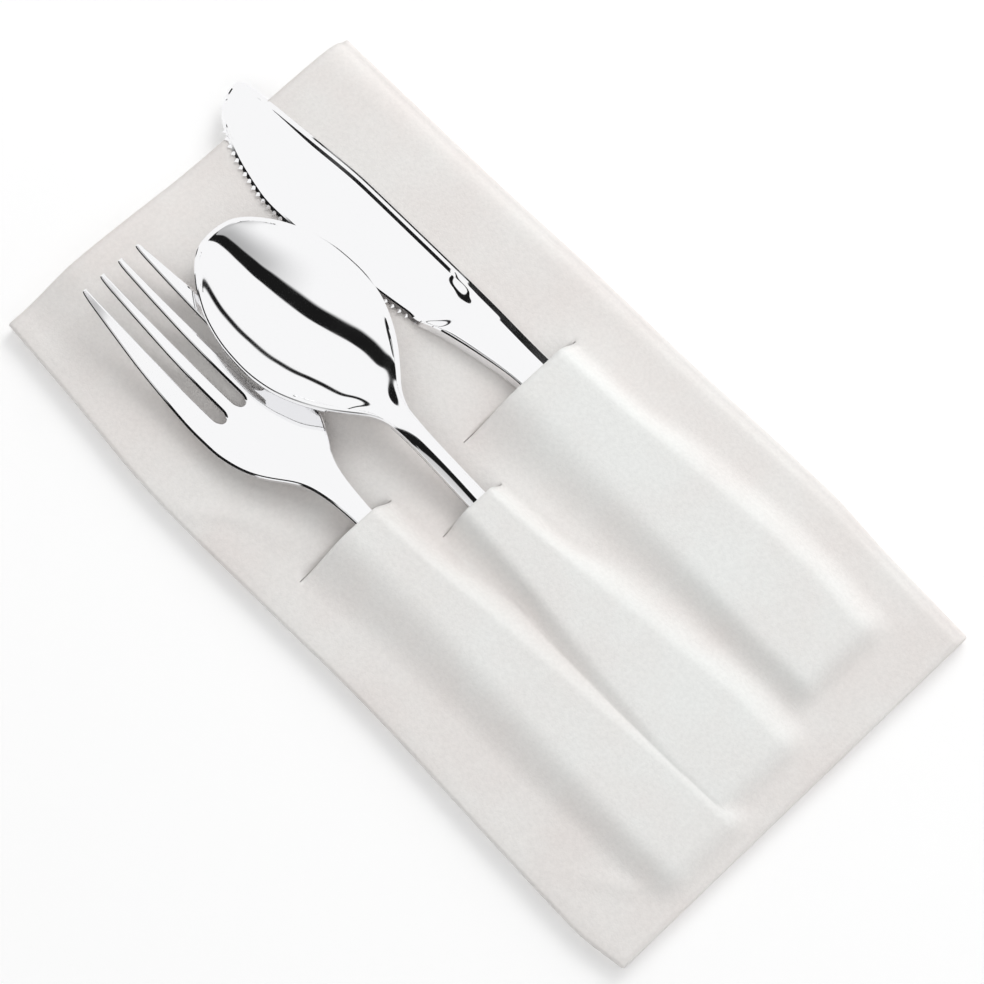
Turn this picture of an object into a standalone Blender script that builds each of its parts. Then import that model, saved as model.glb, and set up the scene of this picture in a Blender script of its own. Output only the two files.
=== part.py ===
"""A plastic cutlery pack: a fork, a spoon and a knife in a pocket-folded paper napkin.

Metres, +Z up. The pack lies flat on z = 0 with its origin under the middle of its bounding box. +Y runs
along the handles towards the tines, the bowl and the blade's tip, and +X points to the knife's side.
The napkin is one square sheet. Three slits in its top ply each let one handle in under that ply.
"""

import math
from bisect import bisect_right
from dataclasses import dataclass

import bmesh
import bpy

MM = 0.001
CLEARANCE = 0.3 * MM  # kept wherever two pieces touch

# Napkin
PLY = 0.35 * MM  # thickness of the paper
PLY_PITCH = 0.5 * MM  # from one ply's middle to the next ply's
PAIR_PITCH = 2 * PLY_PITCH  # from one doubled ply's middle to the next one's
HALF_WIDTH = 54.0 * MM
OPEN_Y = 98.7 * MM
CLOSED_Y = -108.1 * MM
RAW_EDGE_INSET = 0.8 * MM  # how far the two buried raw edges stop short of the left side
SLIT_GAP = 0.5 * MM  # how far a slit stands open
LEVELS = {"bottom": 0, "lower": 1, "upper": 2, "top": 3}  # the four doubled plies, counted from below
WRAP_STEPS = 6  # facets of the wide fold on the right
TURN_STEPS = 4  # facets of each narrow fold
BULGE_LEFT = [(-108, 0.6), (-94, 2.4), (-68, 2.1), (-27, 1.4), (9, 2.5), (42, 3.4), (75, 1.4), (99, 0)]
BULGE_RIGHT = [(-108, 0.8), (-80, 1.9), (-63, 3.0), (-14, 1.8), (14, 1.5), (48, 0.5), (99, 0)]
OPEN_ROWS = [98.7, 84, 70, 56, 42, 28, 14]
POCKET_ROWS = [-18, -28, -38, -48, -58, -68, -76, -84]
LINING_ROWS = [-94, -63, -27, 9, 42, 75, 98.7]

# Handles, as the pocket sees them
HANDLE_BED = 6 * PLY_PITCH + PLY + CLEARANCE  # just above the lining ply
FREE_BEYOND_END = 1.5 * MM  # the top ply stays up this far past a handle's end
SKIRT_BEYOND_END = 6.3 * MM  # and comes down again within this much more
END_SKIRT_STEPS = 3
EDGE_MARGIN = 0.8 * MM  # the top ply stays up this far beside a handle

# Fork, from its tips (0) to the end of its handle
FORK_LENGTH = 188.0 * MM
FORK_END = (-23.1 * MM, -98.6 * MM)
FORK_YAW = math.radians(2.0)
FORK_ROLL = math.radians(4.0)
FORK_LIFT = 0.45 * MM
TINES = 4
SLOT_ROOT = 44.5
SLOT_WIDTH = [(0, 4.3), (15, 3.7), (32, 3.1), (44.5, 3.0)]
TINE_PITCH = [(0, 5.6), (44.5, 6.15), (60, 4.2), (72, 1.4), (86, 0.9), (188, 2.6)]
FORK_HALF_WIDTH = [
    (0, 9.05), (11, 10.4), (21, 11.6), (32, 12.6), (42, 13.3), (48, 13.3), (53, 12.6), (58, 11.2), (63, 8.6),
    (67, 5.9), (71, 4.2), (78, 3.0), (86, 2.5), (100, 2.8), (150, 5.0), (180, 6.4), (185, 5.9), (188, 3.6),
]
FORK_UNDERSIDE = [
    (0, 8.8), (12, 5.3), (24, 2.7), (36, 1.2), (46, 1.0), (54, 1.3), (61, 2.2), (69, 3.1), (76, 3.0),
    (86, 1.9), (100, 0.9), (130, 0.2), (160, 0.0), (188, 0.0),
]
FORK_THICKNESS = [(0, 0.8), (12, 1.2), (30, 1.6), (46, 1.8), (60, 2.0), (72, 2.5), (86, 2.6), (150, 2.2), (188, 1.8)]

# Spoon, from the bowl's tip (0) to the end of its handle
SPOON_LENGTH = 175.0 * MM
SPOON_END = (-4.1 * MM, -94.5 * MM)
SPOON_YAW = math.radians(0.5)
SPOON_ROLL = math.radians(2.5)
SPOON_LIFT = 0.4 * MM
SPOON_HALF_WIDTH = [
    (0, 3.2), (0.8, 5.2), (2.5, 7.4), (5, 9.9), (10, 13.5), (17, 16.7), (25, 18.3), (31, 18.6), (38, 17.6),
    (45, 15.1), (51, 11.6), (56, 7.6), (60, 4.4), (64, 2.9), (72, 2.4), (90, 2.5), (120, 4.4), (150, 7.2),
    (166, 8.4), (172, 7.4), (175, 4.4),
]
SPOON_RIM = [
    (0, 6.9), (10, 7.1), (30, 6.9), (46, 6.8), (58, 6.2), (66, 5.2), (76, 3.8), (90, 1.9), (105, 0.9),
    (130, 0.3), (150, 0.0), (175, 0.0),
]
SPOON_THICKNESS = [(0, 1.2), (8, 1.5), (50, 1.6), (60, 2.0), (70, 2.6), (90, 2.6), (150, 2.2), (175, 1.8)]
BOWL_DEPTH = [(0, 0), (3, 1.6), (10, 4.0), (20, 5.6), (30, 6.0), (40, 5.3), (50, 3.0), (60, 0.4), (64, 0)]

# Knife, from the blade's tip (0) to the end of its handle
KNIFE_LENGTH = 196.5 * MM
KNIFE_END = (27.9 * MM, -88.4 * MM)
KNIFE_YAW = math.radians(1.0)
KNIFE_EDGE_SIDE = [
    (0, -0.4), (0.7, -2.6), (3, -6.0), (6, -8.6), (10, -11.0), (19, -14.0), (30, -15.9), (40, -15.7), (60, -13.3),
    (73.5, -11.4), (82, -9.0), (92, -6.9), (104, -5.2), (150, -6.6), (186, -7.8), (193, -7.0), (196.5, -4.6),
]
KNIFE_SPINE_SIDE = [
    (0, 1.0), (0.7, 1.9), (3, 2.3), (8, 3.1), (24, 5.1), (42, 6.3), (65, 6.2), (84, 5.9), (104, 5.2),
    (150, 6.6), (186, 7.8), (193, 7.0), (196.5, 4.6),
]
KNIFE_UNDERSIDE = [(0, 0.9), (60, 0.7), (90, 1.0), (104, 1.2), (125, 0.4), (150, 0.0), (196.5, 0.0)]
BLADE_END = 86.0  # here the recessed blade has given way to the handle
BLADE_FACE_END = 76.0
BLADE_ACROSS = [(0, 0.5), (0.09, 1.25), (0.45, 1.45), (0.86, 1.5), (0.92, 2.1), (1, 1.7)]
HANDLE_ACROSS = [(0, 2.0), (0.09, 2.5), (0.45, 3.1), (0.86, 2.6), (0.92, 2.4), (1, 2.0)]
TOOTH_PITCH = 2.0
TOOTH_DEPTH = 0.6
FIRST_TOOTH = 8.0
TOOTH_COUNT = 32


def through(stations, place):
    """Height at place of a smooth curve through (place, height) stations that never overshoots them."""
    places = [station[0] for station in stations]
    heights = [station[1] for station in stations]
    if place <= places[0]:
        return heights[0]
    if place >= places[-1]:
        return heights[-1]
    spans = [b - a for a, b in zip(places, places[1:])]
    slopes = [(b - a) / span for a, b, span in zip(heights, heights[1:], spans)]

    def tangent(index):
        if index in (0, len(places) - 1):
            return slopes[min(index, len(slopes) - 1)]
        before, after = slopes[index - 1], slopes[index]
        return 0.0 if before * after <= 0 else 2 * before * after / (before + after)

    index = bisect_right(places, place) - 1
    span = spans[index]
    t = (place - places[index]) / span
    start, end = heights[index], heights[index + 1]
    rise = span * ((t**3 - 2 * t**2 + t) * tangent(index) + (t**3 - t**2) * tangent(index + 1))
    return start + (3 * t**2 - 2 * t**3) * (end - start) + rise


def between(low, high, share):
    return low + (high - low) * share


def ease(share):
    """0 at or below 0, 1 at or above 1, and level at both."""
    share = min(max(share, 0.0), 1.0)
    return share * share * (3 - 2 * share)


def steps(start, end, count):
    """Count equal steps from start to end, with both ends."""
    return [between(start, end, index / count) for index in range(count + 1)]


def refined(places, longest):
    """The places in order, with more put between any two that lie further apart than longest."""
    found = [places[0]]
    for low, high in zip(places, places[1:]):
        count = max(1, math.ceil(abs(high - low) / longest - 1e-6))
        found += steps(low, high, count)[1:]
    return found


def grid_mesh(name, columns, rows, place, keeps=lambda column, row: True):
    """A sheet of quads whose vertex in each column and row lies at place(column, row).

    A face is left out where keeps(column, row) is false for its lower column and row.
    """
    work = bmesh.new()
    bmesh.ops.create_grid(work, x_segments=columns - 1, y_segments=rows - 1, size=0.5)
    cell = {}
    for vertex in work.verts:
        cell[vertex] = (
            round((vertex.co.x + 0.5) * (columns - 1)),
            round((vertex.co.y + 0.5) * (rows - 1)),
        )
    dropped = []
    for face in work.faces:
        column = min(cell[vertex][0] for vertex in face.verts)
        row = min(cell[vertex][1] for vertex in face.verts)
        if not keeps(column, row):
            dropped.append(face)
    for vertex in work.verts:
        vertex.co = place(*cell[vertex])
    bmesh.ops.delete(work, geom=dropped, context="FACES")
    mesh = bpy.data.meshes.new(name)
    work.to_mesh(mesh)
    work.free()
    return mesh


def thickened(piece, thickness):
    shell = piece.modifiers.new("Thickness", "SOLIDIFY")
    shell.thickness = thickness
    shell.offset = 0.0
    shell.use_even_offset = False
    return shell


def finish(name, color, roughness, metallic):
    material = bpy.data.materials.new(name)
    material.use_nodes = True
    shader = material.node_tree.nodes["Principled BSDF"]
    shader.inputs["Base Color"].default_value = (*color, 1.0)
    shader.inputs["Roughness"].default_value = roughness
    shader.inputs["Metallic"].default_value = metallic
    return material


def named_object(name, mesh, collection, material):
    piece = bpy.data.objects.new(name, mesh)
    collection.objects.link(piece)
    piece.data.materials.append(material)
    return piece


def pressed_plate(name, mesh, form, collection, material):
    """A flat sheet thickened to a plate, then pressed: form(x, y) gives the (underside, top) heights there."""
    blank = named_object(name, mesh, collection, material)
    thickened(blank, MM)
    graph = bpy.context.evaluated_depsgraph_get()
    plate = bpy.data.meshes.new_from_object(blank.evaluated_get(graph))
    for vertex in plate.vertices:
        underside, top = form(vertex.co.x, vertex.co.y)
        vertex.co.z = top if vertex.co.z > 0 else underside
    blank.modifiers.clear()
    blank.data = plate
    bpy.data.meshes.remove(mesh)
    return blank


@dataclass
class Handle:
    """One handle as the pocket sees it, with the slit it goes in by and the paper's skirts beside it."""

    end: tuple
    yaw: float
    roll: float
    length: float
    half_width: list
    top: object  # height above z = 0 of its top at a distance from its far tip, in millimetres
    slit_y: float
    slit_x: tuple
    skirt_end_x: tuple

    def axis_x(self, y):
        return self.end[0] - (y - self.end[1]) * math.tan(self.yaw)

    def station(self, y):
        """Distance from the piece's far tip, in millimetres, of the section at y."""
        along = (y - self.end[1]) / math.cos(self.yaw)
        return (self.length - min(max(along, 0.0), self.length)) / MM

    def edges(self, y):
        """The handle's two sides at y. They are held at their slit width in front of the slit."""
        y = min(max(y, self.end[1] + 6 * MM), self.slit_y)
        half = through(self.half_width, self.station(y)) * MM + EDGE_MARGIN
        return self.axis_x(y) - half, self.axis_x(y) + half

    def skirts(self, y):
        """Where the paper beside the handle is back on the stack: the slit's ends, then closer in."""
        share = min(max((self.slit_y - y) / (self.slit_y - self.end[1]), 0.0), 1.0)
        left = between(self.slit_x[0], self.skirt_end_x[0], share)
        right = between(self.slit_x[1], self.skirt_end_x[1], share)
        return left, right

    def lift(self, x, y, flat_z):
        """How far the top ply's middle stands above flat_z over and beside the handle."""
        if y > self.slit_y - 0.5 * SLIT_GAP:
            return 0.0
        high_side = through(self.half_width, self.station(y)) * MM * math.sin(self.roll)
        height = self.top(self.station(y)) * MM + high_side + CLEARANCE + 0.75 * PLY - flat_z
        beyond = ease(1 - (self.end[1] - FREE_BEYOND_END - y) / SKIRT_BEYOND_END)
        left, right = self.edges(y)
        outer_left, outer_right = self.skirts(y)
        reach = 8 * MM * ease((self.slit_y - y) / (40 * MM))
        if x < left:
            side = ease((x - min(outer_left, left - reach)) / (left - min(outer_left, left - reach)))
        elif x > right:
            side = ease((max(outer_right, right + reach) - x) / (max(outer_right, right + reach) - right))
        else:
            side = 1.0
        return height * beyond * side


def fork_top(station):
    return (HANDLE_BED + FORK_LIFT) / MM + through(FORK_UNDERSIDE, station) + through(FORK_THICKNESS, station)


def spoon_top(station):
    return (HANDLE_BED + SPOON_LIFT) / MM + through(SPOON_RIM, station) + through(SPOON_THICKNESS, station)


def knife_top(station):
    return HANDLE_BED / MM + through(KNIFE_UNDERSIDE, station) + max(height for _, height in HANDLE_ACROSS)


HANDLES = [
    Handle(KNIFE_END, KNIFE_YAW, 0.0, KNIFE_LENGTH, KNIFE_SPINE_SIDE, knife_top,
           4.1 * MM, (3.2 * MM, 38.0 * MM), (15.0 * MM, 42.0 * MM)),
    Handle(SPOON_END, SPOON_YAW, SPOON_ROLL, SPOON_LENGTH, SPOON_HALF_WIDTH, spoon_top,
           -9.2 * MM, (-15.2 * MM, 2.6 * MM), (-14.2 * MM, 9.5 * MM)),
    Handle(FORK_END, FORK_YAW, FORK_ROLL, FORK_LENGTH, FORK_HALF_WIDTH, fork_top,
           5.4 * MM, (-44.7 * MM, -17.6 * MM), (-38.0 * MM, -15.2 * MM)),
]


@dataclass
class Column:
    """One line along the sheet's length: where it crosses the folded section."""

    level: str
    turn: float = None  # angle round a fold, in radians, where the column lies on one
    x: float = 0.0
    key: tuple = None  # (index into the top run's keys, share of the way to the next key)


class NapkinFold:
    """Maps the flat sheet's columns and rows to the folded napkin."""

    def __init__(self):
        self.ply_offset = 0.5 * PLY_PITCH
        self.wrap_radius = 1.5 * PAIR_PITCH
        self.turn_radius = 0.5 * PAIR_PITCH
        skin = self.ply_offset + 0.5 * PLY
        self.right_x = HALF_WIDTH - self.wrap_radius - skin
        self.left_x = -(HALF_WIDTH - self.turn_radius - skin)
        self.closed_y = CLOSED_Y + skin
        self.columns = self.make_columns()
        self.rows = self.make_rows()

    def level_z(self, level):
        return 0.5 * PLY + self.ply_offset + level * PAIR_PITCH

    def top_keys(self, y):
        """The top run's keys from right to left: its ends, and each handle's skirts and sides."""
        keys = [self.right_x]
        for handle in HANDLES:
            left, right = handle.edges(y)
            outer_left, outer_right = handle.skirts(y)
            keys += [max(outer_right, right + 0.2 * MM), right, left, min(outer_left, left - 0.2 * MM)]
        return keys + [self.left_x]

    def make_columns(self):
        raw_x = -(HALF_WIDTH - RAW_EDGE_INSET)
        columns = [Column("bottom", x=x) for x in (raw_x, 0.0, self.right_x)]
        for angle in steps(-math.pi / 2, math.pi / 2, WRAP_STEPS)[1:-1]:
            columns.append(Column("wrap", turn=angle))
        band_steps = [4] + [3, 2, 3, 1] * (len(HANDLES) - 1) + [3, 2, 3, 3]
        self.slit_columns = []
        for key, count in enumerate(band_steps):
            if key % 4 == 1:
                self.slit_columns.append([len(columns), 0])
            for index in range(count):
                columns.append(Column("top", key=(key, index / count)))
            if key % 4 == 3:
                self.slit_columns[-1][1] = len(columns)
        columns.append(Column("top", x=self.left_x))
        for angle in steps(math.pi / 2, 3 * math.pi / 2, TURN_STEPS)[1:-1]:
            columns.append(Column("left turn", turn=angle))
        columns += [Column("upper", x=x) for x in (self.left_x, 0.0, self.right_x)]
        for angle in steps(math.pi / 2, -math.pi / 2, TURN_STEPS)[1:-1]:
            columns.append(Column("right turn", turn=angle))
        columns += [Column("lower", x=x) for x in (self.right_x, 0.0, raw_x)]
        return columns

    def make_rows(self):
        """(y, offset from the doubled ply's middle) down the outer ply, round the fold and back up."""
        outer = [y * MM for y in OPEN_ROWS + POCKET_ROWS]
        for handle in HANDLES:
            outer += [handle.slit_y, handle.slit_y - SLIT_GAP]
            skirt_top = handle.end[1] - FREE_BEYOND_END
            outer += steps(skirt_top, skirt_top - SKIRT_BEYOND_END, END_SKIRT_STEPS)
        outer.sort(reverse=True)
        self.slit_rows = [outer.index(handle.slit_y) for handle in HANDLES]
        rows = [(y, self.ply_offset) for y in outer]
        for angle in steps(0.0, math.pi, TURN_STEPS):
            rows.append((self.closed_y - self.ply_offset * math.sin(angle), self.ply_offset * math.cos(angle)))
        return rows + [(y * MM, -self.ply_offset) for y in LINING_ROWS]

    def section(self, column, y, offset):
        """(x, z) of a column at y, this far to the outside of the doubled ply's middle."""
        if column.level == "wrap":
            radius = self.wrap_radius + offset
            return (
                self.right_x + radius * math.cos(column.turn),
                self.level_z(1.5) + radius * math.sin(column.turn),
            )
        if column.level == "left turn":
            radius = self.turn_radius + offset
            return (
                self.left_x + radius * math.cos(column.turn),
                self.level_z(2.5) + radius * math.sin(column.turn),
            )
        if column.level == "right turn":
            radius = self.turn_radius - offset
            return (
                self.right_x + radius * math.cos(column.turn),
                self.level_z(1.5) + radius * math.sin(column.turn),
            )
        x = column.x
        if column.key:
            keys = self.top_keys(y)
            index, share = column.key
            x = between(keys[index], keys[index + 1], share)
        outward = 1 if column.level in ("top", "lower") else -1
        return x, self.level_z(LEVELS[column.level]) + outward * offset

    def place(self, column_index, row_index):
        column = self.columns[column_index]
        y, offset = self.rows[row_index]
        x, z = self.section(column, y, offset)
        if column.level == "top" and offset == self.ply_offset:
            z += max(handle.lift(x, y, z) for handle in HANDLES)
        bulge = through(BULGE_LEFT if x < 0 else BULGE_RIGHT, y / MM) * MM
        return (x * (1 + bulge / HALF_WIDTH), y, z)

    def keeps(self, column_index, row_index):
        """False inside the three slits."""
        for (first, past), row in zip(self.slit_columns, self.slit_rows):
            if row_index == row and first <= column_index < past:
                return False
        return True


def make_napkin(collection):
    fold = NapkinFold()
    mesh = grid_mesh("napkin", len(fold.columns), len(fold.rows), fold.place, fold.keeps)
    napkin = named_object("napkin", mesh, collection, finish("napkin_paper", (0.86, 0.85, 0.83), 0.9, 0.0))
    thickened(napkin, PLY)
    return napkin


def fork_columns():
    """(band, share across it) of each column: bands 0, 2, 4, 6 are tines and 1, 3, 5 are slots."""
    columns = []
    for band in range(2 * TINES - 1):
        columns += [(band, index / 2) for index in range(2)]
    return columns + [(2 * TINES - 2, 1.0)]


def fork_band_edges(station):
    """The x of the bands' borders at a distance from the tips, left to right, in millimetres."""
    half_width = through(FORK_HALF_WIDTH, station)
    pitch = through(TINE_PITCH, station)
    half_slot = 0.5 * through(SLOT_WIDTH, station) * min(pitch / 6.15, 1.0)
    borders = [-half_width]
    for slot in range(TINES - 1):
        middle = (slot - 0.5 * (TINES - 2)) * pitch
        borders += [middle - half_slot, middle + half_slot]
    return borders + [half_width]


def make_fork(collection, metal):
    columns = fork_columns()
    tine_rows = [0, 1.5, 6, 12, 20, 28, 36]
    body_rows = refined([SLOT_ROOT, 50, 58, 74], 4.5) + [80, 86, 94, 104, 116, 130, 145, 160, 172, 180, 184, 186.5, 188]
    rows = tine_rows + body_rows
    root_row = len(tine_rows)

    def place(column_index, row_index):
        band, share = columns[column_index]
        station = rows[row_index]
        if row_index == root_row and band % 2 == 0 and 0 < band:
            station -= 1.3 * (share == 0.0)
        if row_index == root_row and band % 2 == 1 and share == 0.0:
            station -= 1.3
        borders = fork_band_edges(station)
        x = between(borders[band], borders[band + 1], share)
        if station == 0 and band % 2 == 0:
            x = between(x, 0.5 * (borders[band] + borders[band + 1]), 0.25)
        return (x * MM, FORK_LENGTH - station * MM, 0.0)

    def keeps(column_index, row_index):
        return row_index >= root_row or columns[column_index][0] % 2 == 0

    def form(_, y):
        station = (FORK_LENGTH - y) / MM
        underside = through(FORK_UNDERSIDE, station)
        return underside * MM, (underside + through(FORK_THICKNESS, station)) * MM

    mesh = grid_mesh("fork", len(columns), len(rows), place, keeps)
    fork = pressed_plate("fork", mesh, form, collection, metal)
    fork.location = (*FORK_END, HANDLE_BED + FORK_LIFT)
    fork.rotation_euler = (0.0, FORK_ROLL, FORK_YAW)
    return fork


def make_spoon(collection, metal):
    across = steps(-1.0, 1.0, 10)
    rows = [0, 0.8, 2.5, 5, 8, 12, 16, 20, 25, 30, 35, 40, 44, 48, 52, 56, 60, 64, 68, 74, 82, 90, 100, 112, 125, 140]
    rows += [152, 162, 168, 172, 174, 175]

    def place(column_index, row_index):
        station = rows[row_index]
        half_width = through(SPOON_HALF_WIDTH, station)
        return (across[column_index] * half_width * MM, SPOON_LENGTH - station * MM, 0.0)

    def form(x, y):
        station = (SPOON_LENGTH - y) / MM
        share = x / MM / through(SPOON_HALF_WIDTH, station)
        hollow = through(BOWL_DEPTH, station) * (1 - share * share)
        underside = through(SPOON_RIM, station) - hollow
        return underside * MM, (underside + through(SPOON_THICKNESS, station)) * MM

    mesh = grid_mesh("spoon", len(across), len(rows), place)
    spoon = pressed_plate("spoon", mesh, form, collection, metal)
    spoon.location = (*SPOON_END, HANDLE_BED + SPOON_LIFT)
    spoon.rotation_euler = (0.0, SPOON_ROLL, SPOON_YAW)
    return spoon


def make_knife(collection, metal):
    across = [share for share, _ in BLADE_ACROSS]
    last_tooth = FIRST_TOOTH + TOOTH_COUNT * TOOTH_PITCH
    rows = [0, 0.7, 3, 5.5] + steps(FIRST_TOOTH, last_tooth, 2 * TOOTH_COUNT)
    rows += [BLADE_FACE_END, 79, 82, BLADE_END, 92, 98, 104, 114, 125, 138, 150, 165, 180, 188, 193, 195.5, 196.5]

    def tooth(station):
        """How far the edge is cut back: nothing at a point, the full depth halfway to the next."""
        if not FIRST_TOOTH <= station <= last_tooth:
            return 0.0
        phase = (station - FIRST_TOOTH) / TOOTH_PITCH % 1.0
        return TOOTH_DEPTH * (1 - abs(2 * phase - 1))

    def sides(station):
        return through(KNIFE_EDGE_SIDE, station), through(KNIFE_SPINE_SIDE, station)

    def place(column_index, row_index):
        station = rows[row_index]
        edge, spine = sides(station)
        x = between(edge, spine, across[column_index])
        if column_index == 0:
            x += tooth(station)
        return (x * MM, KNIFE_LENGTH - station * MM, 0.0)

    def form(x, y):
        station = (KNIFE_LENGTH - y) / MM
        edge, spine = sides(station)
        share = (x / MM - edge) / (spine - edge)
        handle = ease((station - BLADE_FACE_END) / (BLADE_END - BLADE_FACE_END))
        blade_thickness = through(BLADE_ACROSS, share) * between(0.7, 1.0, ease(station / 30))
        thickness = between(blade_thickness, through(HANDLE_ACROSS, share), handle)
        underside = through(KNIFE_UNDERSIDE, station)
        return underside * MM, (underside + thickness) * MM

    mesh = grid_mesh("knife", len(across), len(rows), place)
    knife = pressed_plate("knife", mesh, form, collection, metal)
    knife.location = (*KNIFE_END, HANDLE_BED)
    knife.rotation_euler = (0.0, 0.0, KNIFE_YAW)
    return knife


def clear_scene():
    for leftover in list(bpy.data.objects):
        bpy.data.objects.remove(leftover, do_unlink=True)


def main():
    clear_scene()
    collection = bpy.data.collections.new("plastic_cutlery_pack")
    bpy.context.scene.collection.children.link(collection)
    make_napkin(collection)
    for name, make in (("fork", make_fork), ("spoon", make_spoon), ("knife", make_knife)):
        make(collection, finish(f"{name}_silver", (0.83, 0.84, 0.85), 0.08, 1.0))


main()
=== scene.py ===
"""Looks of a plastic cutlery pack: a mirror-plated fork, spoon and knife in a pocket-folded paper napkin.

The three mouldings are closed cages in their own frames, in millimetres: x runs across the piece and the
station runs from its far tip to the end of its handle. Each is smoothed, turned as it lies in the pack and
set on its CAD node's box. The napkin is one sheet, folded by a rule that maps its flat columns and rows.
"""

import logging
import math
from bisect import bisect_right
from collections.abc import Callable, Sequence
from dataclasses import dataclass, field
from enum import Enum

import bmesh
import bpy
import numpy as np
from mathutils import Euler, Matrix, Vector


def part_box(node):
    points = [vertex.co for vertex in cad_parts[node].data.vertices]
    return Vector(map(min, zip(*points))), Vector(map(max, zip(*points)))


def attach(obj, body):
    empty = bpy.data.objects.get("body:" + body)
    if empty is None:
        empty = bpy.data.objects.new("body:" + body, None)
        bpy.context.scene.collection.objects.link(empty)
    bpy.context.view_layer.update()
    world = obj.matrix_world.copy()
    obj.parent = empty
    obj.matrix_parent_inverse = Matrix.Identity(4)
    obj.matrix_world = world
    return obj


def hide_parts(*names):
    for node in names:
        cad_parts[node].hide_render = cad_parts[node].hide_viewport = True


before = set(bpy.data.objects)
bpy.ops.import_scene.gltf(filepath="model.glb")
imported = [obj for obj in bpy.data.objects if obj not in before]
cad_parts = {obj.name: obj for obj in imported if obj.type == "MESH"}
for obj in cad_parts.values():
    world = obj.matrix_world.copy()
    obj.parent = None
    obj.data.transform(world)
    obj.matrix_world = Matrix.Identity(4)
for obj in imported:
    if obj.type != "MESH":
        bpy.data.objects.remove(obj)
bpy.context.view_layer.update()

logging.basicConfig(level=logging.INFO, format="%(message)s", force=True)
report = logging.getLogger("cutlery_pack")

MM = 0.001
Stations = Sequence[tuple[float, float]]


# ---------------------------------------------------------------- numbers and curves


def between(low: float, high: float, share: float) -> float:
    """The value this share of the way from low to high."""
    return low + (high - low) * share


def ease(share: float) -> float:
    """0 at or below 0, 1 at or above 1, and level at both."""
    share = min(max(share, 0.0), 1.0)
    return share * share * (3 - 2 * share)


def hump(place: float, middle: float, half_width: float) -> float:
    """1 at the middle, falling smoothly to 0 this far to either side."""
    return ease(1 - abs(place - middle) / half_width)


def steps(start: float, end: float, count: int) -> list[float]:
    """Count equal steps from start to end, with both ends."""
    return [between(start, end, index / count) for index in range(count + 1)]


def through(stations: Stations, place: float) -> float:
    """Reads a smooth curve that never overshoots its stations.

    Args:
        stations: (place, height) pairs in rising order of place.
        place: where to read the curve.

    Returns:
        The height there, or the end station's height beyond either end.
    """
    places = [station[0] for station in stations]
    heights = [station[1] for station in stations]
    if place <= places[0]:
        return heights[0]
    if place >= places[-1]:
        return heights[-1]
    index = bisect_right(places, place) - 1

    def slope(at: int) -> float:
        return (heights[at + 1] - heights[at]) / (places[at + 1] - places[at])

    def tangent(at: int) -> float:
        if at in (0, len(places) - 1):
            return slope(min(at, len(places) - 2))
        before, after = slope(at - 1), slope(at)
        return 0.0 if before * after <= 0 else 2 * before * after / (before + after)

    span = places[index + 1] - places[index]
    t = (place - places[index]) / span
    start, end = heights[index], heights[index + 1]
    rise = span * ((t**3 - 2 * t**2 + t) * tangent(index) + (t**3 - t**2) * tangent(index + 1))
    return start + (3 * t**2 - 2 * t**3) * (end - start) + rise


# ---------------------------------------------------------------- materials


def srgb(hex_color: str) -> tuple[float, float, float, float]:
    """Turns an sRGB hex colour such as "F2F0EE" to linear RGBA."""
    channels = []
    for index in (0, 2, 4):
        value = int(hex_color[index : index + 2], 16) / 255
        channels.append(value / 12.92 if value <= 0.04045 else ((value + 0.055) / 1.055) ** 2.4)
    return (*channels, 1.0)


def per_mm(size: float) -> float:
    """The scale that gives a pattern on Object coordinates features of about this many millimetres."""
    return 1.0 / (size * MM)


def add_node(tree: bpy.types.NodeTree, kind: str, inputs: dict | None = None, **settings) -> bpy.types.Node:
    """Adds a node with its settings and links.

    Args:
        tree: the tree to add it to.
        kind: the node's type name.
        inputs: socket name or number to a value, or to an output socket to link from.
        settings: attributes of the node.

    Returns:
        The new node.
    """
    node = tree.nodes.new(kind)
    for name, value in settings.items():
        setattr(node, name, value)
    for name, value in (inputs or {}).items():
        if isinstance(value, bpy.types.NodeSocket):
            tree.links.new(value, node.inputs[name])
        else:
            node.inputs[name].default_value = value
    return node


def new_material(name: str) -> tuple[bpy.types.Material, bpy.types.NodeTree, bpy.types.Node]:
    """A material with its tree and Principled shader."""
    material = bpy.data.materials.new(name)
    material.use_nodes = True
    tree = material.node_tree
    return material, tree, tree.nodes["Principled BSDF"]


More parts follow.
